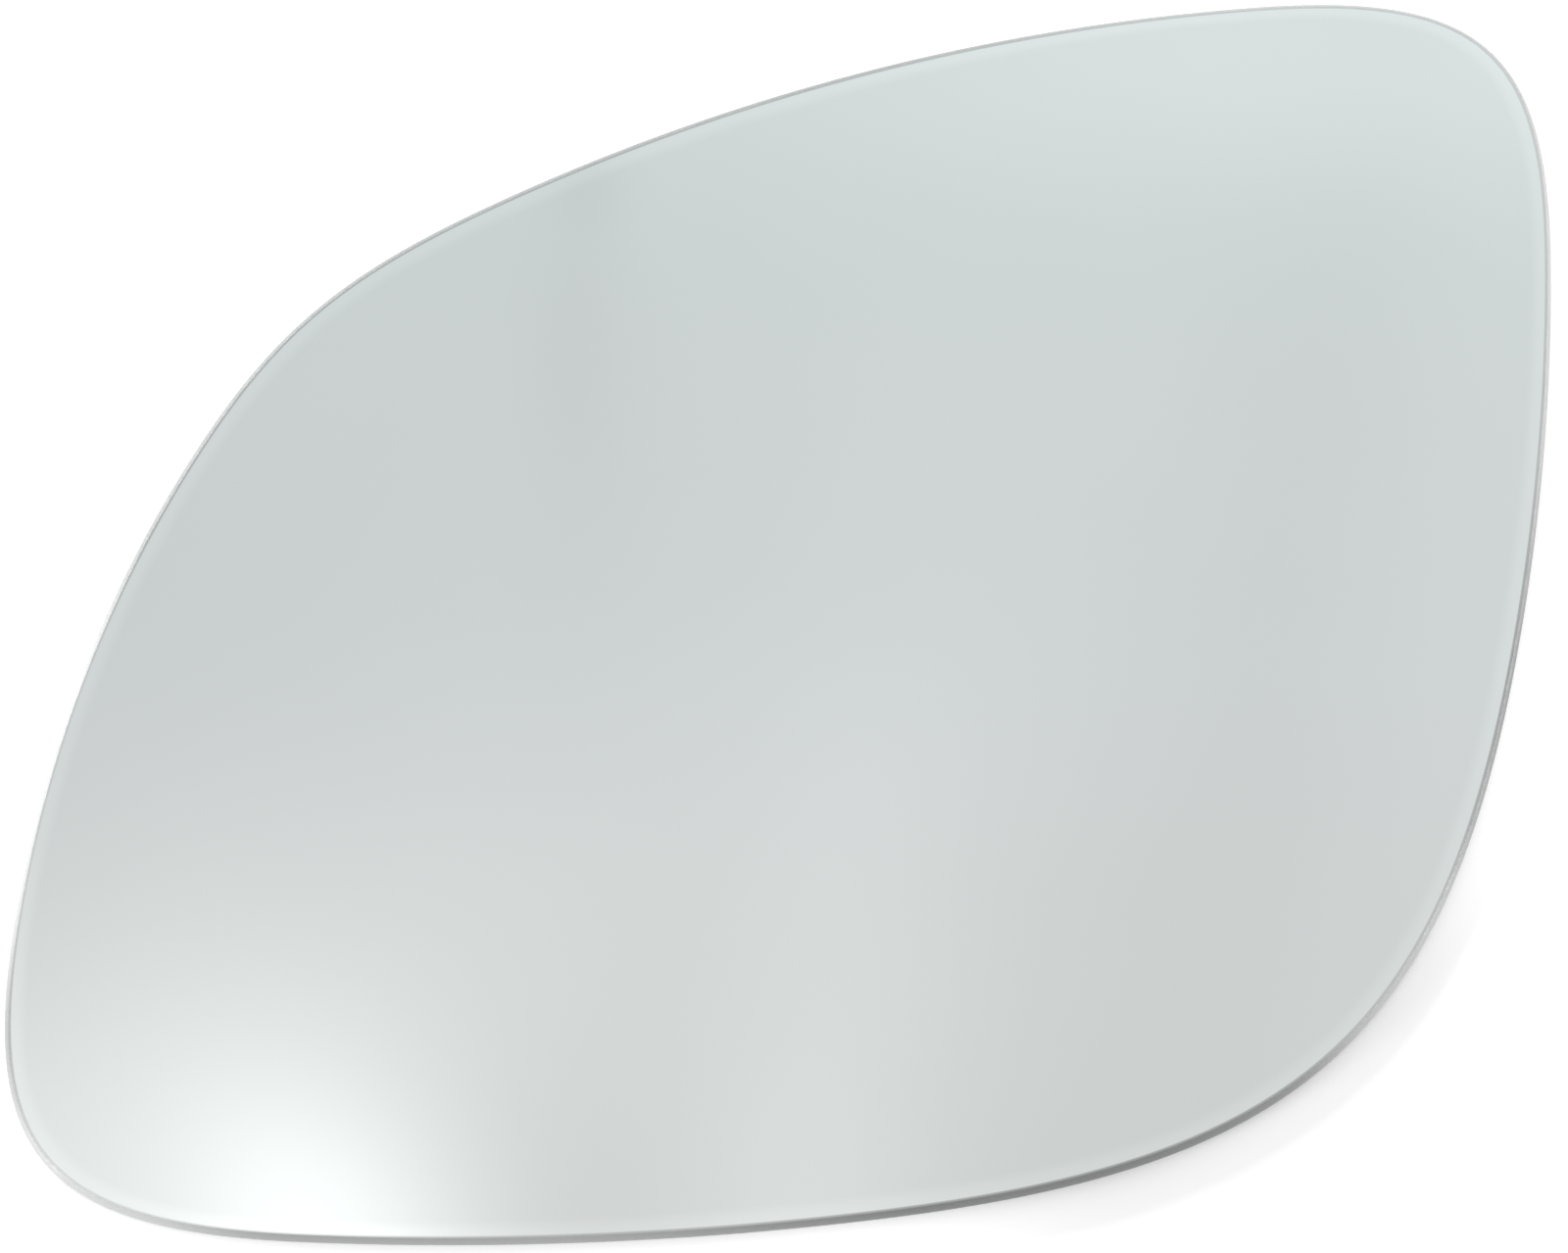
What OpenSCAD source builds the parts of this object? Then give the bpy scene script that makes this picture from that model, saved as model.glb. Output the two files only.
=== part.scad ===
// Loose glass for a car's door mirror: one sheet of silvered glass, bent to a shallow dome, with its
// edge ground round. Millimetres. It lies reflecting side up on a flat surface at z = 0, and the
// origin is under the middle of its outline. Right and up are as seen from the reflecting side.

/* [Sheet] */
// Thickness of the glass, silvering and lacquer together
glass_t = 2; // [1.8:0.1:4]
// Radius of the dome, on the reflecting side
bend_r = 1260; // [700:20:2400]

/* [Ground edge] */
// How far the rounded edge stands out past the rims of the two faces
edge_crown = 0.6; // [0.2:0.05:0.7]

/* [Upper right corner] */
// Corner point, to the right
upper_right_x = 86.5; // [76:0.5:96]
// Corner point, upwards
upper_right_y = 75; // [65:0.5:85]
// Length of its blend along each side
upper_right_blend = 32; // [12:1:50]

/* [Lower right corner] */
// Corner point, to the right
lower_right_x = 66; // [56:0.5:76]
// Corner point, upwards
lower_right_y = -59.5; // [-70:0.5:-50]
// Length of its blend along each side
lower_right_blend = 57; // [20:1:70]

/* [Lower left corner] */
// Corner point, to the right
lower_left_x = -88; // [-98:0.5:-78]
// Corner point, upwards
lower_left_y = -70.5; // [-80:0.5:-60]
// Length of its blend along each side
lower_left_blend = 34; // [12:1:50]

/* [Upper left corner] */
// Corner point, to the right
upper_left_x = -54.5; // [-64:0.5:-44]
// Corner point, upwards
upper_left_y = 37; // [28:0.5:46]
// Length of its blend along each side
upper_left_blend = 23; // [12:1:45]

/* [Sides] */
// How far the right side bows out from the line between its corner points
right_bow = 8.75; // [4:0.25:14]
// The same for the bottom side
bottom_bow = 8.25; // [4:0.25:14]
// The same for the left side
left_bow = 11.25; // [4:0.25:14]
// The same for the top side
top_bow = 10.5; // [4:0.25:14]
// Fullness of the corner blends: 0.55 is near a circle, 1 would reach for the corner point
blend_fullness = 0.77; // [0.6:0.01:0.9]

/* [Hidden] */

// Points along each corner's blend and along each side between two blends
corner_steps = 22;
side_steps = 12;
// Flats round the section of the ground edge, an odd number so that one ring is the outline itself
edge_steps = 7;
// Flats round a whole sphere of the bend's radius
bend_facets = 360;
// How far the edge's tool reaches past the sheet, above and below it
tool_reach = 2;

// Corners clockwise from the upper right, and the side that follows each
corners = [
    [upper_right_x, upper_right_y],
    [lower_right_x, lower_right_y],
    [lower_left_x, lower_left_y],
    [upper_left_x, upper_left_y],
];
blends = [upper_right_blend, lower_right_blend, lower_left_blend, upper_left_blend];
bows = [right_bow, bottom_bow, left_bow, top_bow];
corner_count = len(corners);

function unit(v) = v / norm(v);
function left_of(v) = [-v.y, v.x];

// A side is the arc through two corner points: its centre, radius and the angles at its two ends
function side_arc(i) =
    let (
        start = corners[i],
        end = corners[(i + 1) % corner_count],
        chord = norm(end - start),
        r = chord * chord / (8 * bows[i]) + bows[i] / 2,
        centre = (start + end) / 2 - (r - bows[i]) * left_of(unit(end - start)),
        first = atan2(start.y - centre.y, start.x - centre.x)
    )
    [centre, r, first, first - 2 * asin(chord / (2 * r))];

function on_arc(arc, angle) = arc[0] + arc[1] * [cos(angle), sin(angle)];
function arc_heading(angle) = [sin(angle), -cos(angle)];
function arc_angle(arc, length) = length / arc[1] * 180 / PI;

// Where side i leaves the blend before it, and where it enters the blend after it
function side_first(i) = side_arc(i)[2] - arc_angle(side_arc(i), blends[i]);
function side_last(i) = side_arc(i)[3] + arc_angle(side_arc(i), blends[(i + 1) % corner_count]);

function cubic(a, b, c, d, t) =
    pow(1 - t, 3) * a + 3 * pow(1 - t, 2) * t * b + 3 * (1 - t) * t * t * c + pow(t, 3) * d;

// A corner's blend is one cubic curve that leaves both sides along their own directions
function corner_points(i) =
    let (
        before = (i + corner_count - 1) % corner_count,
        from = on_arc(side_arc(before), side_last(before)),
        to = on_arc(side_arc(i), side_first(i)),
        leave = arc_heading(side_last(before)),
        arrive = arc_heading(side_first(i)),
        leave_length = cross(to - from, arrive) / cross(leave, arrive),
        arrive_length = cross(leave, to - from) / cross(leave, arrive),
        from_handle = from + blend_fullness * leave_length * leave,
        to_handle = to - blend_fullness * arrive_length * arrive
    )
    [for (k = [0:corner_steps - 1]) cubic(from, from_handle, to_handle, to, k / corner_steps)];

function side_points(i) =
    [for (k = [0:side_steps - 1])
        on_arc(side_arc(i), side_first(i) + (side_last(i) - side_first(i)) * k / side_steps)];

function middle_of(values) = (min(values) + max(values)) / 2;

// The corner points are drawn about a centre of their own, and the outline is then moved to its middle
drawn_outline = [for (i = [0:corner_count - 1]) each concat(corner_points(i), side_points(i))];
outline_middle = [
    middle_of([for (p = drawn_outline) p.x]),
    middle_of([for (p = drawn_outline) p.y]),
];
outline = [for (p = drawn_outline) p - outline_middle];
outline_count = len(outline);

function furthest(points, place) =
    let (distances = [for (p = points) norm(p - place)])
    points[search(max(distances), distances)[0]];

function circle_centre(a, b, c) =
    let (p = b - a, q = c - a)
    a + [q.y * (p * p) - p.y * (q * q), p.x * (q * q) - q.x * (p * p)] / (2 * cross(p, q));

// The dome lies on the rim of its two right corners and its lower left one, so its axis stands at the
// middle of the circle through their furthest points. Each call finds it more closely, and in the fourth
// it no longer moves
resting_rims = [for (i = [0:2]) [for (p = corner_points(i)) p - outline_middle]];
function nearer_axis(axis) =
    let (contacts = [for (rim = resting_rims) furthest(rim, axis)])
    circle_centre(contacts[0], contacts[1], contacts[2]);
dome_axis = nearer_axis(nearer_axis(nearer_axis(nearer_axis([0, 0]))));

// The middle of the sheet's thickness, measured from the centre of the dome's sphere
mid_r = bend_r - glass_t / 2;
sheet_line = [for (p = outline)
    let (q = p - dome_axis)
    [q.x, q.y, sqrt(mid_r * mid_r - q * q)]];

// A place in the edge's section at outline point i: outwards along the sheet, and square to it
function edge_point(i, outwards, rise) =
    let (
        square = unit(sheet_line[i]),
        next = sheet_line[(i + 1) % outline_count],
        last = sheet_line[(i + outline_count - 1) % outline_count],
        outward = unit(cross(square, next - last))
    )
    sheet_line[i] + outwards * outward + rise * square;

// The ground edge is an arc across the thickness. Its outermost rings lie just past the two faces, so
// that each face cuts a flat in its middle
edge_r = (glass_t * glass_t / 4 + edge_crown * edge_crown) / (2 * edge_crown);
edge_half_angle = 2 * atan(2 * edge_crown / glass_t);
ring_angles = [for (k = [0:edge_steps + 1]) edge_half_angle * (2 * k - edge_steps - 1) / edge_steps];
edge_rings = [for (a = ring_angles)
    [for (i = [0:outline_count - 1]) edge_point(i, edge_r * (cos(a) - 1), edge_r * sin(a))]];

back_rim = [for (i = [0:outline_count - 1]) edge_point(i, -edge_crown, -glass_t / 2)];
sphere_drop = min([for (p = back_rim) p.z]);

// The sheet before it is cut: the space between two spheres with one centre. Their poles lie level, so
// that none of them is on the glass
module bent_sheet() {
    rotate([90, 0, 0]) difference() {
        sphere(r = bend_r, $fn = bend_facets);
        sphere(r = bend_r - glass_t, $fn = bend_facets);
    }
}

// Everything within the ground edge, with flat ends clear above and below the sheet
module ground_edge() {
    tool_bottom = sphere_drop - tool_reach;
    tool_top = bend_r + tool_reach;
    rings = concat(
        [[for (p = edge_rings[0]) [p.x, p.y, tool_bottom]]],
        edge_rings,
        [[for (p = edge_rings[edge_steps + 1]) [p.x, p.y, tool_top]]]
    );
    top_ring = (len(rings) - 1) * outline_count;
    bands = [for (k = [0:len(rings) - 2], i = [0:outline_count - 1])
        let (
            j = (i + 1) % outline_count,
            low = k * outline_count,
            high = low + outline_count
        )
        each [[low + i, low + j, high + j], [low + i, high + j, high + i]]];
    polyhedron(
        points = [for (ring = rings) each ring],
        faces = concat(
            [[for (i = [outline_count - 1:-1:0]) i]],
            bands,
            [[for (i = [0:outline_count - 1]) top_ring + i]]
        )
    );
}

module mirror_glass() {
    color([0.80, 0.84, 0.83])
        translate([dome_axis.x, dome_axis.y, -sphere_drop])
            intersection() {
                bent_sheet();
                ground_edge();
            }
}

mirror_glass();
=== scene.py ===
import math

import bmesh
import bpy
import numpy as np
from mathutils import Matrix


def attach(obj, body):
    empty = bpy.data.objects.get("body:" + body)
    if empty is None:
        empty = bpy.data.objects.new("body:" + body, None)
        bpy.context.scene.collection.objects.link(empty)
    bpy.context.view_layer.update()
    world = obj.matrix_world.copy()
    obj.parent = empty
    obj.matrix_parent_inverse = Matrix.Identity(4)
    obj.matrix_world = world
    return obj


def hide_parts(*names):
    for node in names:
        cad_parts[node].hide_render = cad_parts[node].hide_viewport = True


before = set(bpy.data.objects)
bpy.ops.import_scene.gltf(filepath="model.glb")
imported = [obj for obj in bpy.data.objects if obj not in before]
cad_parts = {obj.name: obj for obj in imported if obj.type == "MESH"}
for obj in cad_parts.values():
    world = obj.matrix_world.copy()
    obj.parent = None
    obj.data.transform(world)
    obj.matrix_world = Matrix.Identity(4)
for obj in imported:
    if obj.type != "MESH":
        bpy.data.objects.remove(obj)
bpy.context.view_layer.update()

# Loose glass of a car's door mirror: one bent sheet, silvered on its back, lying reflecting side up on a
# pale floor. Lengths are in metres and angles in radians, unless a name says otherwise.

# Sheet and outline, with the sizes of the solid that the mesh stands for. The corners run clockwise from
# the upper right, and each side runs from its own corner to the next. The dome lies on three of them
GLASS_T = 0.002
BEND_R = 1.26
EDGE_CROWN = 0.0006
CORNERS = np.array([(0.0865, 0.075), (0.066, -0.0595), (-0.088, -0.0705), (-0.0545, 0.037)])
CORNER_BLENDS = [0.032, 0.057, 0.034, 0.023]
SIDE_BOWS = [0.00875, 0.00825, 0.01125, 0.0105]
BLEND_FULLNESS = 0.77
RESTING_CORNERS = (0, 1, 2)
RESTING_ROUNDS = 6
# Softening of the two rims, where the ground edge meets the faces
ARRIS_R = 0.00015

# Points of the mesh along each curve, round the rim, and across the ground edge and each of its arrises
CURVE_STEPS = 240
RIM_POINTS = 480
ARC_STEPS = 20
ARRIS_STEPS = 4
# Rings over the two faces: the first is narrow and the next ones widen, until the cells are about square.
# Their points are halved where they come too close, and the middle is a fan of triangles
FIRST_RING = 0.0001
RING_GROWTH = 1.6
CLOSEST_POINTS = 0.0012
FEWEST_POINTS = 15
MIDDLE_FAN_R = 0.002
# The mesh's materials, by their number, and the name of its attribute for the place across the edge
FACE, EDGE, BACK = 0, 1, 2
ACROSS = "across"

# Colours as linear light
SILVER = (0.625, 0.665, 0.660)
# The ground edge in painted light and in painted shade, mixed round the rim
EDGE_PAINTED_LIT = (0.60, 0.61, 0.605)
EDGE_PAINTED_SHADED = (0.20, 0.205, 0.205)
# The back's lacquer lapped over the ground edge, which also paints shade on the edge's lower part
EDGE_LAPPED_AND_SHADED = (0.20, 0.205, 0.205)
LACQUER = (0.15, 0.155, 0.155)
FLOOR_COLOUR = (0.85, 0.85, 0.85)
WHITE = (1.0, 1.0, 1.0)

# Textures. A scale is in features a metre, a height in metres, and shares are of the colour. The noise goes
# from 0 to 1 about its middle, and a range is the part of it over which one look gives way to the other
NOISE_MIDDLE = 0.5
# Silvered face: cloudy tone, wipes drawn out along x, and the slight wave of bent glass
CLOUD_SCALE = 28.0
CLOUD_SHARES = (0.985, 1.015)
WIPE_SCALES = (30.0, 260.0, 30.0)
WIPE_RANGE = (0.45, 0.8)
FACE_ROUGHNESS = (0.012, 0.035)
WAVE_SCALE = 22.0
WAVE_HEIGHT = 0.00003
# Ground edge: lines of grinding along it, and the lacquer's wandering lap over it from the back, which also
# paints shade on the lower part of the edge. The lap is in sheet thicknesses across the edge
GRIND_SCALE = 120.0
GRIND_DRAW = 40.0
GRIND_RANGE = (0.3, 0.7)
GRIND_SHARES = (0.88, 1.08)
GRIND_HEIGHT = 0.00002
EDGE_ROUGHNESS = (0.26, 0.36)
GLASS_IOR = 1.52
LAP_AND_SHADE_REACH = (0.70, 0.85)
LAP_WANDER = 0.12
LAP_WANDER_SCALE = 260.0
# Back: cloudy lacquer with pale specks and the fine peel of a sprayed coat
LACQUER_CLOUD_SCALE = 45.0
LACQUER_CLOUD_RANGE = (0.3, 0.7)
LACQUER_CLOUD_SHARES = (0.85, 1.15)
LACQUER_ROUGHNESS = (0.38, 0.5)
SPECK_SCALE = 1400.0
SPECK_RANGE = (0.66, 0.74)
SPECK_SHARE = 1.6
PEEL_SCALE = 900.0
PEEL_HEIGHT = 0.00004
# Painted shade and painted highlight on the ground edge and the end of the silver, from 0, lit, to 1,
# shaded: the level all round, and the places where it differs, with their reach and their own level. It is
# darkest along the bottom and the right, and palest at the lower left corner and the left
RIM_PAINTED_SHADE = 0.55
RIM_PAINTED_SHADE_PLACES = [
    ((0.072, 0.066, 0.003), (0.010, 0.065), 0.22),
    ((0.030, -0.069, 0.003), (0.008, 0.060), 1.0),
    ((0.082, -0.008, 0.003), (0.0, 0.032), 0.93),
    ((0.070, -0.043, 0.003), (0.004, 0.020), 0.38),
    ((-0.079, -0.071, 0.003), (0.004, 0.024), 0.0),
    ((-0.084, -0.020, 0.003), (0.010, 0.032), 0.0),
]
# The silver ends a little inside the rim, where it shows darker, partly as the real end of the coat and
# partly as painted shade, and next to that a painted highlight makes it lighter. The distances from the rim
# are in sheet thicknesses. The end has two shares of the silver's colour, for where the rim's painted light
# is palest and where its painted shade is darkest
SILVER_END = (0.07, 0.15)
SILVER_END_SHARES = (0.92, 0.58)
PAINTED_RIM_HIGHLIGHT = 1.07
PAINTED_RIM_HIGHLIGHT_REACH = (0.35, 1.2)

# Floor, with what is added to its colour so that it shows white beyond the shadow. Less is added round one
# place, where the shadow shows most. Far off the floor turns to plain white
FLOOR_SIZE = 6.0
FLOOR_FADE = (0.25, 0.9)
FLOOR_LIFT = 0.45
SHADOW_LIFT = 0.17
SHADOW_PLACE = (0.058, -0.064, 0.0)
SHADOW_REACH = (0.018, 0.058)

# Soft boxes of one size, by their azimuth from +X, their elevation and their power in watts
LAMPS = {
    "key_light": (math.radians(135), math.radians(20), 15.0),
    "left_light": (math.radians(208), math.radians(12), 9.0),
    "right_light": (math.radians(4), math.radians(8), 13.0),
}
LAMP_DISTANCE = 1.5
LAMP_SIZE = (0.30, 0.25)

# Level of the light that falls on every surface from all around
AMBIENT = 0.74

# The studio that the glass mirrors: a ceiling that brightens along one slope, which is the rise of the
# level along the x and y of a direction, with soft patches of light on it. Below it are walls with rows
# of upright panels, and a light horizon. Heights are the sine of the elevation
CEILING_LEVEL = 0.92
CEILING_SLOPE = (0.20, 0.14, 0.0)
# Strength of each patch, and its middle, half widths and turn in the x and y of a direction
CEILING_PATCHES = [
    (0.55, (-0.100, 0.086), (0.040, 0.055), 0.48),
    (0.275, (-0.200, 0.100), (0.190, 0.074), 0.49),
    (0.18, (0.013, 0.0), (0.040, 0.200), -0.18),
    (-0.036, (0.166, 0.296), (0.033, 0.200), -0.17),
    (0.12, (0.178, 0.428), (0.200, 0.040), 0.0),
    (-0.040, (-0.030, 0.350), (0.016, 0.060), 0.0),
    (-0.035, (-0.027, 0.389), (0.010, 0.011), 0.0),
]
# Depth of a patch along z, so great that only the x and y of a direction count
PATCH_DEPTH = 1000.0
HORIZON_LEVEL = 1.0
WALL_LEVEL = 0.60
PANEL_LEVEL = 1.10
PANEL_COUNT = 14
# Where a panel ends to the side and how far all are turned, in shares of the panels' spacing
PANEL_SIDE = (0.28, 0.36)
PANEL_TURN = 0.1
HALF_SPACING = 0.5
# Foot and top of the panels in each row, and how high they fade at each
PANEL_ROWS = [(0.10, 0.40), (0.48, 0.77)]
PANEL_FADE = 0.03
# Heights where the walls start and end
WALL_START = (0.02, 0.07)
WALL_END = (0.74, 0.84)
# Tint of what is mirrored, from low to high along the y of a direction
WARM_TINT = (1.022, 0.995, 0.995)
COOL_TINT = (0.980, 1.003, 1.006)
TINT_REACH = (0.10, 0.42)

# Camera
CAMERA_TILT = math.radians(18)
CAMERA_DISTANCE = 1.1
CAMERA_AIM = np.array([-0.000436, -0.001988, 0.003])
LENS_MM = 222.0


def unit(v):
    return v / np.linalg.norm(v, axis=-1, keepdims=True)


def cross_2d(a, b):
    return a[0] * b[1] - a[1] * b[0]


def side_arc(i):
    """The centre and radius of side i, and the angles at its two corner points."""
    start, end = CORNERS[i], CORNERS[(i + 1) % len(CORNERS)]
    chord = np.linalg.norm(end - start)
    radius = chord**2 / (8 * SIDE_BOWS[i]) + SIDE_BOWS[i] / 2
    along = (end - start) / chord
    centre = (start + end) / 2 - (radius - SIDE_BOWS[i]) * np.array([-along[1], along[0]])
    first = math.atan2(start[1] - centre[1], start[0] - centre[0])
    return centre, radius, first, first - 2 * math.asin(chord / (2 * radius))


def side_first(i):
    """The angle where side i leaves the blend before it."""
    _, radius, first, _ = side_arc(i)
    return first - CORNER_BLENDS[i] / radius


def side_last(i):
    """The angle where side i enters the blend after it."""
    _, radius, _, last = side_arc(i)
    return last + CORNER_BLENDS[(i + 1) % len(CORNERS)] / radius


def on_side(i, angle):
    """Points on the arc of side i at the given angle or angles."""
    centre, radius, _, _ = side_arc(i)
    return centre + radius * np.stack([np.cos(angle), np.sin(angle)], axis=-1)


def heading(angle):
    """The direction of clockwise travel at an angle of an arc."""
    return np.array([math.sin(angle), -math.cos(angle)])


def side_curve(i):
    steps = np.arange(CURVE_STEPS) / CURVE_STEPS
    return on_side(i, side_first(i) + (side_last(i) - side_first(i)) * steps)


def corner_curve(i):
    """One cubic curve that leaves both sides along their own directions."""
    before = (i - 1) % len(CORNERS)
    start, end = on_side(before, side_last(before)), on_side(i, side_first(i))
    leave, arrive = heading(side_last(before)), heading(side_first(i))
    turn = cross_2d(leave, arrive)
    start_handle = start + BLEND_FULLNESS * cross_2d(end - start, arrive) / turn * leave
    end_handle = end - BLEND_FULLNESS * cross_2d(leave, end - start) / turn * arrive
    t = (np.arange(CURVE_STEPS) / CURVE_STEPS)[:, None]
    return (
        (1 - t) ** 3 * start
        + 3 * (1 - t) ** 2 * t * start_handle
        + 3 * (1 - t) * t**2 * end_handle
        + t**3 * end
    )


def evenly_spaced(loop, count):
    """count points at equal distances round a closed loop."""
    closed = np.vstack([loop, loop[:1]])
    reached = np.concatenate([[0], np.cumsum(np.linalg.norm(np.diff(closed, axis=0), axis=1))])
    wanted = reached[-1] * np.arange(count) / count
    return np.stack([np.interp(wanted, reached, closed[:, k]) for k in range(closed.shape[1])], axis=1)


def circle_centre(a, b, c):
    """The centre of the circle through three points."""
    p, q = b - a, c - a
    return a + np.array([q[1] * (p @ p) - p[1] * (q @ q), p[0] * (q @ q) - q[0] * (p @ p)]) / (
        2 * cross_2d(p, q)
    )


def resting_axis(rims):
    """Where the dome's axis stands when it rests on the furthest point of each of three rims."""
    axis = np.zeros(2)
    for _ in range(RESTING_ROUNDS):
        axis = circle_centre(*[rim[np.argmax(np.linalg.norm(rim - axis, axis=1))] for rim in rims])
    return axis


class Sheet:
    """The line half-way through the sheet's thickness along its outline, and the two directions there."""

    def __init__(self):
        curves = [(corner_curve(i), side_curve(i)) for i in range(len(CORNERS))]
        drawn = np.vstack([curve for pair in curves for curve in pair])
        middle = (drawn.min(axis=0) + drawn.max(axis=0)) / 2
        self.axis = resting_axis([curves[i][0] - middle for i in RESTING_CORNERS])
        self.mid_r = BEND_R - GLASS_T / 2
        from_axis = evenly_spaced(drawn - middle, RIM_POINTS) - self.axis
        height = np.sqrt(self.mid_r**2 - (from_axis**2).sum(axis=1))
        line = np.column_stack([from_axis, height])
        self.square = unit(line)
        self.outward = unit(np.cross(self.square, np.roll(line, -1, axis=0) - np.roll(line, 1, axis=0)))
        self.drop = self.ring_from_centre(-EDGE_CROWN, -GLASS_T / 2)[:, 2].min()

    def ring_from_centre(self, outwards, rise):
        """A line round the sheet, outwards along it from its outline and square to it by rise, measured
        from the centre of the dome's sphere."""
        turn = outwards / self.mid_r
        ray = math.cos(turn) * self.square + math.sin(turn) * self.outward
        return (self.mid_r + rise) * ray

    def ring(self, outwards, rise):
        """The line of ring_from_centre, where the glass lies."""
        return self.placed(self.ring_from_centre(outwards, rise))

    def placed(self, points):
        """Points measured from the centre of the dome's sphere, moved to where the glass lies."""
        return points + np.array([*self.axis, -self.drop])

    def on_sphere(self, places, radius):
        """The points straight above the given places on a sphere about the dome's centre."""
        from_axis = places - self.axis
        return self.placed(np.column_stack([from_axis, np.sqrt(radius**2 - (from_axis**2).sum(axis=1))]))


def edge_section():
    """Places across the ground edge from the reflecting face to the back, an arc between two arrises."""
    half_t = GLASS_T / 2
    arc_r = (half_t**2 + EDGE_CROWN**2) / (2 * EDGE_CROWN)
    arris_rise = half_t - ARRIS_R
    arris_out = math.sqrt((arc_r - ARRIS_R) ** 2 - arris_rise**2) - arc_r
    meeting = math.atan2(arris_rise, arris_out + arc_r)
    arris = [
        (arris_out + ARRIS_R * math.cos(a), arris_rise + ARRIS_R * math.sin(a))
        for a in np.linspace(math.pi / 2, meeting, ARRIS_STEPS + 1)
    ]
    arc = [
        (arc_r * (math.cos(a) - 1), arc_r * math.sin(a))
        for a in np.linspace(meeting, -meeting, ARC_STEPS + 1)
    ]
    return arris[:-1] + arc + [(outwards, -rise) for outwards, rise in reversed(arris[:-1])]


class MeshParts:
    """The vertices and faces of one mesh as they are made, with each face's material and each vertex's
    place across the edge, which is 0 at the reflecting face's rim and 1 at the back's. Over the faces it
    goes on below 0 and above 1. Its unit is the sheet's thickness."""

    def __init__(self):
        self.points, self.across, self.faces, self.materials = [], [], [], []

    def add_ring(self, ring, across):
        """Adds the points of a ring and returns their numbers."""
        first = len(self.points)
        self.points.extend(map(tuple, ring))
        self.across.extend(np.broadcast_to(across, len(ring)).tolist())
        return list(range(first, len(self.points)))

    def add_faces(self, faces, material):
        self.faces.extend(faces)
        self.materials.extend([material] * len(faces))

    def join(self, outer, inner, material):
        """Faces between two rings, the inner with as many points as the outer or with half as many."""
        n = len(inner)
        after = [(k + 1) % n for k in range(n)]
        if len(outer) == n:
            faces = [(outer[k], outer[after[k]], inner[after[k]], inner[k]) for k in range(n)]
        else:
            faces = []
            for k in range(n):
                left, middle, right = outer[2 * k], outer[2 * k + 1], outer[2 * after[k]]
                faces += [
                    (left, middle, inner[k]),
                    (middle, inner[after[k]], inner[k]),
                    (middle, right, inner[after[k]]),
                ]
        self.add_faces(faces, material)

    def build(self, name, materials):
        """The finished object, smooth all over."""
        mesh = bpy.data.meshes.new(name)
        mesh.from_pydata(self.points, [], self.faces)
        for material in materials:
            mesh.materials.append(material)
        mesh.polygons.foreach_set("material_index", self.materials)
        mesh.polygons.foreach_set("use_smooth", [True] * len(self.faces))
        across = mesh.attributes.new(ACROSS, "FLOAT", "POINT")
        across.data.foreach_set("value", self.across)
        mesh.update()
        mesh.validate()
        made = bpy.data.objects.new(name, mesh)
        bpy.context.scene.collection.objects.link(made)
        return made


def add_cap(parts, sheet, rim, rim_ids, radius, material):
    """A face of the glass, from its rim inwards in rings that lose half their points as they shrink."""
    places = rim[:, :2]
    from_middle = np.linalg.norm(places, axis=1)
    reach = from_middle.mean()
    at_rim = parts.across[rim_ids[0]]
    inwards = from_middle / GLASS_T * (1 if material == BACK else -1)
    share, step, skip, outer = 1.0, FIRST_RING, 1, rim_ids
    while share * reach > MIDDLE_FAN_R + step:
        share -= step / reach
        pitch = 2 * math.pi * reach * share * skip / RIM_POINTS
        if pitch < CLOSEST_POINTS and RIM_POINTS // skip > FEWEST_POINTS:
            skip, pitch = 2 * skip, 2 * pitch
        across = at_rim + (1 - share) * inwards[::skip]
        inner = parts.add_ring(sheet.on_sphere(share * places[::skip], radius), across)
        parts.join(outer, inner, material)
        outer, step = inner, min(step * RING_GROWTH, pitch)
    middle = parts.add_ring(sheet.on_sphere(np.zeros((1, 2)), radius), at_rim + inwards.mean())[0]
    count = len(outer)
    parts.add_faces([(outer[k], outer[(k + 1) % count], middle) for k in range(count)], material)


def glass_mesh(materials):
    """The whole sheet as one closed mesh: its ground edge, and a cap on each side for the two faces."""
    sheet, parts, section = Sheet(), MeshParts(), edge_section()
    rings = [sheet.ring(outwards, rise) for outwards, rise in section]
    across = [0.5 - rise / GLASS_T for _, rise in section]
    ids = [parts.add_ring(ring, share) for ring, share in zip(rings, across)]
    for upper, lower in zip(ids, ids[1:]):
        parts.join(upper, lower, EDGE)
    add_cap(parts, sheet, rings[0], ids[0], BEND_R, FACE)
    add_cap(parts, sheet, rings[-1], ids[-1], BEND_R - GLASS_T, BACK)
    return parts.build("silvered_glass_sheet", materials)


def turn_faces_out(piece):
    shape = bmesh.new()
    shape.from_mesh(piece.data)
    bmesh.ops.recalc_face_normals(shape, faces=shape.faces)
    shape.to_mesh(piece.data)
    shape.free()


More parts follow.
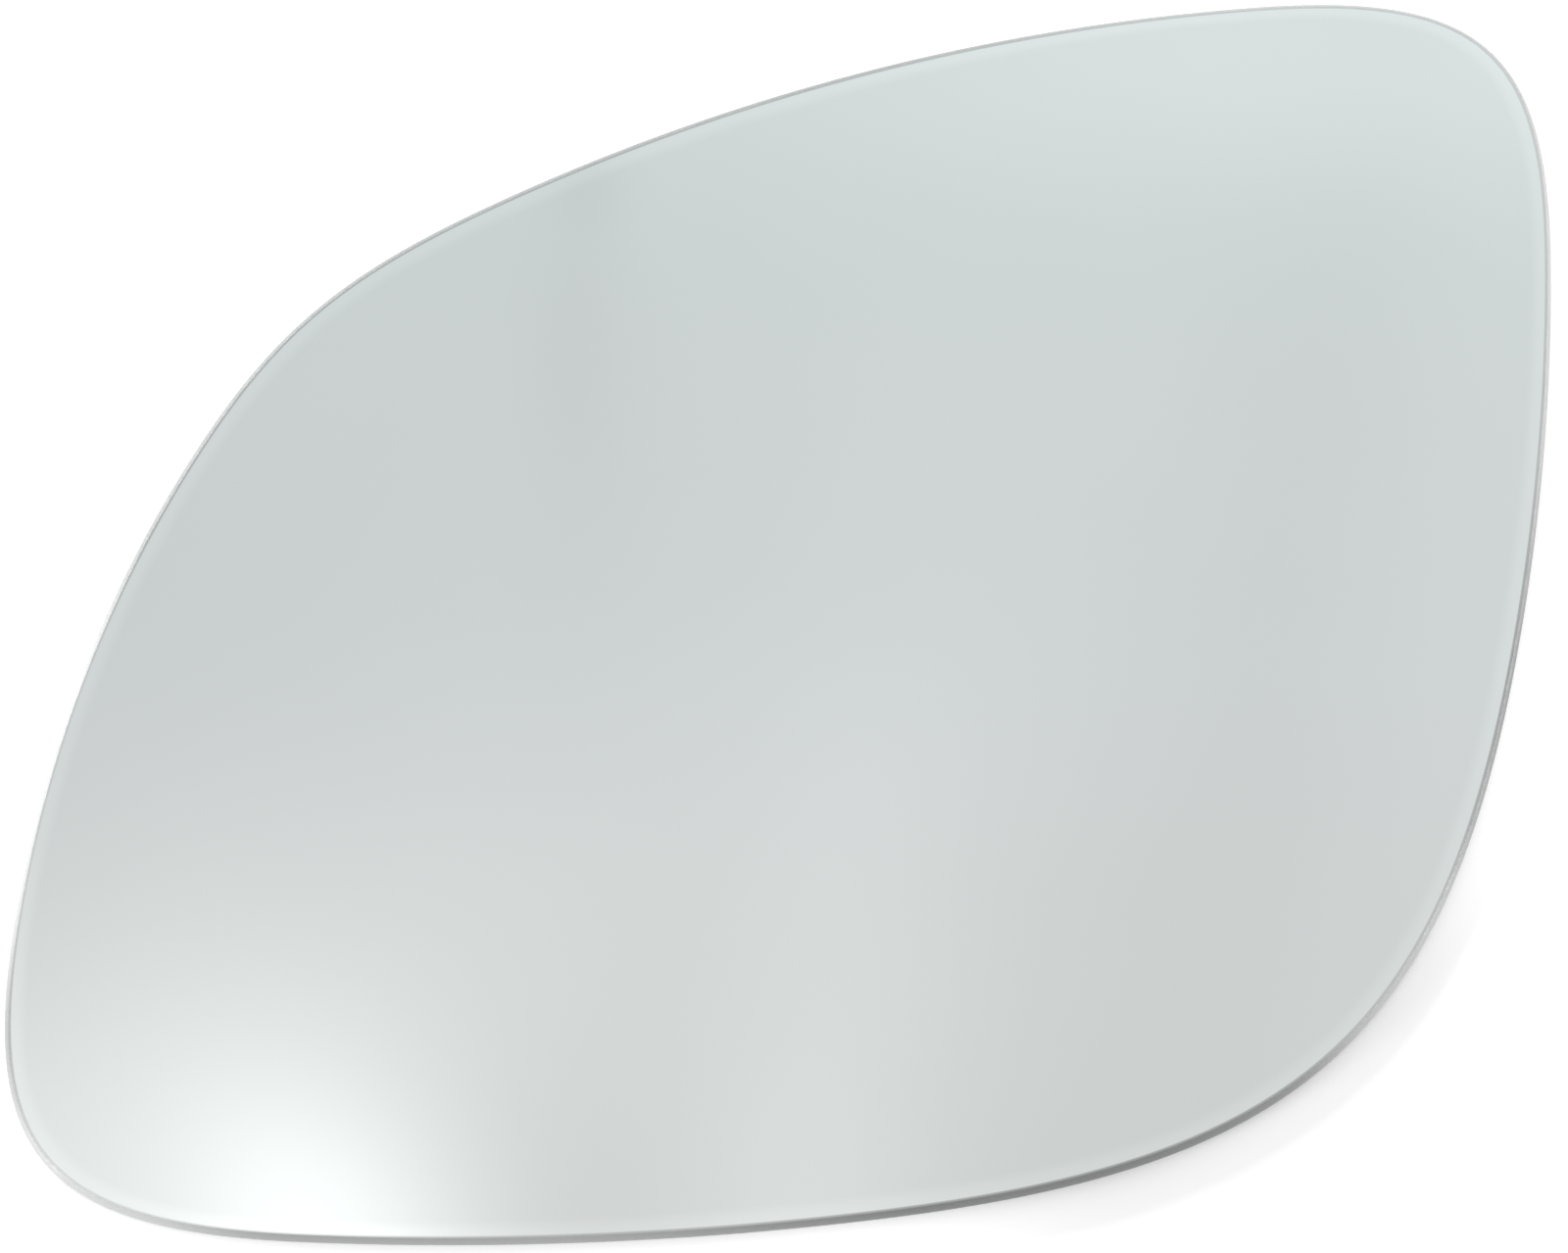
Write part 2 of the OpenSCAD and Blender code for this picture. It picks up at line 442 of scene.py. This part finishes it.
class Nodes:
    """Adds nodes to a tree. An input given as a socket is linked, and any other value is set."""

    def __init__(self, tree):
        self.tree = tree

    def add(self, kind, inputs=(), **settings):
        node = self.tree.nodes.new(kind)
        for key, value in settings.items():
            setattr(node, key, value)
        for key, value in dict(inputs).items():
            if isinstance(value, bpy.types.NodeSocket):
                self.tree.links.new(value, node.inputs[key])
            else:
                node.inputs[key].default_value = value
        return node

    def math(self, operation, *values):
        return self.add("ShaderNodeMath", enumerate(values), operation=operation).outputs[0]

    def vector_math(self, operation, *values, **inputs):
        return self.add("ShaderNodeVectorMath", {**dict(enumerate(values)), **inputs}, operation=operation)

    def map_range(self, value, start, end, low=0.0, high=1.0, interpolation="LINEAR"):
        """Low up to start and high from end on, with an even slope between them."""
        inputs = {"Value": value, "From Min": start, "From Max": end, "To Min": low, "To Max": high}
        return self.add("ShaderNodeMapRange", inputs, interpolation_type=interpolation).outputs[0]

    def smooth_step(self, value, start, end, low=0.0, high=1.0):
        """Like map_range, with a slope that starts and ends softly."""
        return self.map_range(value, start, end, low, high, "SMOOTHSTEP")

    # A mix gives a where the factor is 0 and b where it is 1. The node numbers its inputs by their kind:
    # the factor is 0, numbers are 2 and 3, and colours are 6 and 7
    def mix_value(self, factor, a, b):
        return self.add("ShaderNodeMix", {0: factor, 2: a, 3: b}).outputs[0]

    def mix_colour(self, factor, a, b):
        node = self.add("ShaderNodeMix", {0: factor, 6: rgba(a), 7: rgba(b)}, data_type="RGBA")
        return node.outputs[2]

    def mix_shades(self, factor, colour, shares):
        """A colour in two shades, mixed."""
        return self.mix_colour(factor, shaded(colour, shares[0]), shaded(colour, shares[1]))

    def noise(self, vector, scale, detail=2.0, roughness=0.5, **inputs):
        inputs = {"Vector": vector, "Scale": scale, "Detail": detail, "Roughness": roughness, **inputs}
        dimensions = "4D" if "W" in inputs else "3D"
        return self.add("ShaderNodeTexNoise", inputs, noise_dimensions=dimensions).outputs["Fac"]

    def bump(self, value, height):
        inputs = {"Height": value, "Distance": height, "Strength": 1.0}
        return self.add("ShaderNodeBump", inputs).outputs["Normal"]

    def object_place(self):
        return self.add("ShaderNodeTexCoord").outputs["Object"]

    def across(self):
        """The place across the edge that the mesh holds."""
        return self.add("ShaderNodeAttribute", attribute_name=ACROSS).outputs["Fac"]

    def principled(self, **inputs):
        """A principled shader that is the tree's output. Its inputs are named with _ for each space."""
        named = {key.replace("_", " "): value for key, value in inputs.items()}
        shader = self.add("ShaderNodeBsdfPrincipled", named)
        self.add("ShaderNodeOutputMaterial", {"Surface": shader.outputs[0]})


def new_material(name):
    """An empty material, and a short way to add nodes to it."""
    material = bpy.data.materials.new(name)
    material.use_nodes = True
    material.node_tree.nodes.clear()
    return material, Nodes(material.node_tree)


def rgba(colour):
    return colour if isinstance(colour, bpy.types.NodeSocket) else (*colour, 1.0)


def shaded(colour, share):
    return tuple(channel * share for channel in colour)


def painted_rim_shade(nodes):
    """Painted shade and painted highlight round the rim: a level all round, which gives way to another near
    each named place.
    """
    place, level = nodes.object_place(), RIM_PAINTED_SHADE
    for middle, reach, darkness in RIM_PAINTED_SHADE_PLACES:
        away = nodes.vector_math("DISTANCE", place, middle).outputs["Value"]
        level = nodes.mix_value(nodes.smooth_step(away, *reach), darkness, level)
    return level


def silver_material():
    """Silver seen through clear glass: a clean mirror, faintly wiped."""
    material, nodes = new_material("silvered_face")
    place = nodes.object_place()
    cloud = nodes.noise(place, CLOUD_SCALE, detail=3.0)
    inside = nodes.across()
    # A painted highlight on the silver just inside the rim
    near_rim = nodes.smooth_step(inside, -PAINTED_RIM_HIGHLIGHT_REACH[1], -PAINTED_RIM_HIGHLIGHT_REACH[0])
    ended = nodes.smooth_step(inside, -SILVER_END[1], -SILVER_END[0])
    clouded = nodes.mix_shades(cloud, SILVER, CLOUD_SHARES)
    painted_highlight = nodes.mix_colour(near_rim, clouded, shaded(SILVER, PAINTED_RIM_HIGHLIGHT))
    # The silver's darker end, partly real, with painted shade and painted highlight round the rim
    end_colour = nodes.mix_shades(painted_rim_shade(nodes), SILVER, SILVER_END_SHARES)
    drawn_out = nodes.vector_math("MULTIPLY", place, WIPE_SCALES).outputs[0]
    wipes = nodes.noise(drawn_out, 1.0, detail=4.0)
    wave = nodes.noise(place, WAVE_SCALE, detail=1.0)
    nodes.principled(
        Base_Color=nodes.mix_colour(ended, painted_highlight, end_colour),
        Metallic=1.0,
        Roughness=nodes.smooth_step(wipes, *WIPE_RANGE, *FACE_ROUGHNESS),
        Normal=nodes.bump(wave, WAVE_HEIGHT),
    )
    return material


def edge_material():
    """Ground glass, frosted, in painted shade and painted highlight that differ round the rim, and dark
    where the lacquer laps over it from the back, which also paints shade on the lower part of the edge."""
    material, nodes = new_material("ground_edge")
    place, across = nodes.object_place(), nodes.across()
    # The lacquer's lap over the lower part of the edge, which also paints shade there
    patches = nodes.noise(place, LAP_WANDER_SCALE, detail=4.0, roughness=0.6)
    wander = nodes.math("MULTIPLY", nodes.math("SUBTRACT", patches, NOISE_MIDDLE), LAP_WANDER)
    lapped_and_shaded = nodes.smooth_step(nodes.math("ADD", across, wander), *LAP_AND_SHADE_REACH)
    lines = nodes.noise(place, GRIND_SCALE, detail=5.0, W=nodes.math("MULTIPLY", across, GRIND_DRAW))
    worn = nodes.smooth_step(lines, *GRIND_RANGE, *GRIND_SHARES)
    # The edge's tone round the rim is painted shade and painted highlight
    painted_rim_light = nodes.mix_colour(painted_rim_shade(nodes), EDGE_PAINTED_LIT, EDGE_PAINTED_SHADED)
    base = nodes.mix_colour(lapped_and_shaded, painted_rim_light, EDGE_LAPPED_AND_SHADED)
    nodes.principled(
        Base_Color=nodes.vector_math("SCALE", base, Scale=worn).outputs[0],
        Roughness=nodes.smooth_step(lines, *GRIND_RANGE, *EDGE_ROUGHNESS),
        IOR=GLASS_IOR,
        Normal=nodes.bump(lines, GRIND_HEIGHT),
    )
    return material


def back_material():
    """Grey protective lacquer, sprayed on."""
    material, nodes = new_material("back_lacquer")
    place = nodes.object_place()
    cloud = nodes.noise(place, LACQUER_CLOUD_SCALE, detail=4.0)
    specks = nodes.smooth_step(nodes.noise(place, SPECK_SCALE, detail=1.0), *SPECK_RANGE)
    clouded = nodes.mix_shades(cloud, LACQUER, LACQUER_CLOUD_SHARES)
    peel = nodes.noise(place, PEEL_SCALE, detail=2.0)
    nodes.principled(
        Base_Color=nodes.mix_colour(specks, clouded, shaded(LACQUER, SPECK_SHARE)),
        Roughness=nodes.smooth_step(cloud, *LACQUER_CLOUD_RANGE, *LACQUER_ROUGHNESS),
        Normal=nodes.bump(peel, PEEL_HEIGHT),
    )
    return material


def seen(nodes):
    """Two sockets: 1 for what the camera sees straight or through glass, and 1 for what is mirrored."""
    path = nodes.add("ShaderNodeLightPath").outputs
    direct = nodes.math("MAXIMUM", path["Is Camera Ray"], path["Is Transmission Ray"])
    return direct, path["Is Glossy Ray"]


def floor_material():
    """Pale floor that keeps the glass's shadow, most of it beside the lower right corner, and turns to
    plain white further off."""
    material, nodes = new_material("pale_floor")
    direct, glossy = seen(nodes)
    shown = nodes.math("MAXIMUM", direct, glossy)
    away = nodes.vector_math("LENGTH", nodes.object_place()).outputs["Value"]
    far = nodes.smooth_step(away, *FLOOR_FADE)
    matt = nodes.add("ShaderNodeBsdfDiffuse", {"Color": rgba(FLOOR_COLOUR)})
    from_shadow = nodes.vector_math("DISTANCE", nodes.object_place(), SHADOW_PLACE).outputs["Value"]
    raised = nodes.smooth_step(from_shadow, *SHADOW_REACH, SHADOW_LIFT, FLOOR_LIFT)
    lift = nodes.add(
        "ShaderNodeEmission", {"Color": rgba(WHITE), "Strength": nodes.math("MULTIPLY", shown, raised)}
    )
    near = nodes.add("ShaderNodeAddShader", enumerate([matt.outputs[0], lift.outputs[0]]))
    white = nodes.add("ShaderNodeEmission", {"Color": rgba(WHITE), "Strength": 1.0})
    mixed = nodes.add(
        "ShaderNodeMixShader",
        enumerate([nodes.math("MULTIPLY", far, shown), near.outputs[0], white.outputs[0]]),
    )
    nodes.add("ShaderNodeOutputMaterial", {"Surface": mixed.outputs[0]})
    return material


def make_floor():
    half = FLOOR_SIZE / 2
    corners = [(-half, -half, 0), (half, -half, 0), (half, half, 0), (-half, half, 0)]
    mesh = bpy.data.meshes.new("floor")
    mesh.from_pydata(corners, [], [(0, 1, 2, 3)])
    mesh.materials.append(floor_material())
    floor = bpy.data.objects.new("floor", mesh)
    bpy.context.scene.collection.objects.link(floor)


def ceiling_light(nodes, direction):
    """The level of the ceiling in a direction, with each soft patch on it."""
    rise = nodes.vector_math("DOT_PRODUCT", direction, CEILING_SLOPE).outputs["Value"]
    level = nodes.math("ADD", rise, CEILING_LEVEL)
    for strength, middle, half_widths, turn in CEILING_PATCHES:
        inputs = {
            "Vector": direction,
            "Location": (*middle, 0.0),
            "Rotation": (0.0, 0.0, turn),
            "Scale": (*half_widths, PATCH_DEPTH),
        }
        place = nodes.add("ShaderNodeMapping", inputs, vector_type="TEXTURE").outputs[0]
        away = nodes.vector_math("DOT_PRODUCT", place, place).outputs["Value"]
        glow = nodes.math("EXPONENT", nodes.math("MULTIPLY", away, -1.0))
        level = nodes.math("MULTIPLY_ADD", glow, strength, level)
    return level


def wall_light(nodes, side_x, side_y, height):
    """The level of the walls, where the panels of each row stand at equal distances."""
    spacings = nodes.math("MULTIPLY", nodes.math("ARCTAN2", side_y, side_x), PANEL_COUNT / (2 * math.pi))
    from_middle = nodes.math("PINGPONG", nodes.math("ADD", spacings, PANEL_TURN), HALF_SPACING)
    off_panel = 1.0
    for foot, top in PANEL_ROWS:
        below = nodes.smooth_step(height, foot, foot + PANEL_FADE, 1.0, 0.0)
        above = nodes.smooth_step(height, top - PANEL_FADE, top)
        off_panel = nodes.math("MINIMUM", off_panel, nodes.math("MAXIMUM", below, above))
    off_panel = nodes.math("MAXIMUM", off_panel, nodes.smooth_step(from_middle, *PANEL_SIDE))
    return nodes.mix_value(off_panel, PANEL_LEVEL, WALL_LEVEL)


def make_world():
    """The studio as the glass mirrors it, even light for all else, and plain white to look at."""
    world = bpy.data.worlds.new("studio")
    world.use_nodes = True
    world.node_tree.nodes.clear()
    bpy.context.scene.world = world
    nodes = Nodes(world.node_tree)
    direction = nodes.add("ShaderNodeTexCoord").outputs["Generated"]
    side_x, side_y, height = nodes.add("ShaderNodeSeparateXYZ", {0: direction}).outputs
    walls = wall_light(nodes, side_x, side_y, height)
    low = nodes.mix_value(nodes.smooth_step(height, *WALL_START), HORIZON_LEVEL, walls)
    studio = nodes.mix_value(nodes.smooth_step(height, *WALL_END), low, ceiling_light(nodes, direction))
    direct, glossy = seen(nodes)
    strength = nodes.mix_value(direct, nodes.mix_value(glossy, AMBIENT, studio), 1.0)
    tint = nodes.mix_colour(nodes.map_range(side_y, *TINT_REACH), WARM_TINT, COOL_TINT)
    colour = nodes.mix_colour(glossy, WHITE, tint)
    background = nodes.add("ShaderNodeBackground", {"Color": colour, "Strength": strength})
    nodes.add("ShaderNodeOutputWorld", {"Surface": background.outputs[0]})


def make_lamp(name, azimuth, elevation, power):
    """A soft box that faces the origin. A lamp shines along its own -Z, so its Z points away from there."""
    light = bpy.data.lights.new(name, "AREA")
    light.shape = "RECTANGLE"
    light.size, light.size_y = LAMP_SIZE
    light.energy = power
    lamp = bpy.data.objects.new(name, light)
    level = LAMP_DISTANCE * math.cos(elevation)
    lamp.location = (
        level * math.cos(azimuth),
        level * math.sin(azimuth),
        LAMP_DISTANCE * math.sin(elevation),
    )
    lamp.rotation_euler = lamp.location.to_track_quat("Z", "Y").to_euler()
    bpy.context.scene.collection.objects.link(lamp)


def make_camera():
    data = bpy.data.cameras.new("camera")
    data.lens = LENS_MM
    camera = bpy.data.objects.new("camera", data)
    back = np.array([0, -math.sin(CAMERA_TILT), math.cos(CAMERA_TILT)])
    camera.location = CAMERA_AIM + CAMERA_DISTANCE * back
    camera.rotation_euler = (CAMERA_TILT, 0, 0)
    bpy.context.scene.collection.objects.link(camera)
    bpy.context.scene.camera = camera


def main():
    bpy.context.scene.view_settings.view_transform = "Standard"
    make_camera()
    make_world()
    for name, (azimuth, elevation, power) in LAMPS.items():
        make_lamp(name, azimuth, elevation, power)
    make_floor()
    glass = glass_mesh([silver_material(), edge_material(), back_material()])
    turn_faces_out(glass)
    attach(glass, "root")
    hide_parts("mirror_glass")


main()
